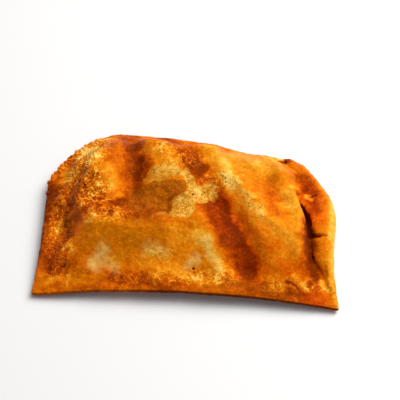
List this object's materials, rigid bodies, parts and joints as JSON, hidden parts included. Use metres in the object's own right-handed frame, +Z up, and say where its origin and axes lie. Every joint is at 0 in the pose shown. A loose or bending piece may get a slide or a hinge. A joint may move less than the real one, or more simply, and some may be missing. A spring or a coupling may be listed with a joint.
{
  "type": "fried cheese empanada",
  "caption": "Half-moon turnover of thin fried dough folded over cheese, with a long straight edge, turned-over hems and a puffed, dented golden crust.",
  "frame": {"origin": "middle of the outline seen from above, on the surface that the underside rests on", "axes": "+X along the straight folded edge towards the torn hem, +Y from that edge towards the back, +Z up out of the puffed side"},
  "size_m": [0.1523, 0.096, 0.0236],
  "materials": {
    "fried_dough": "blistered golden fried crust with a light oily sheen"
  },
  "bodies": {
    "root": {"empanada": "fried_dough"}
  },
  "joints": []
}
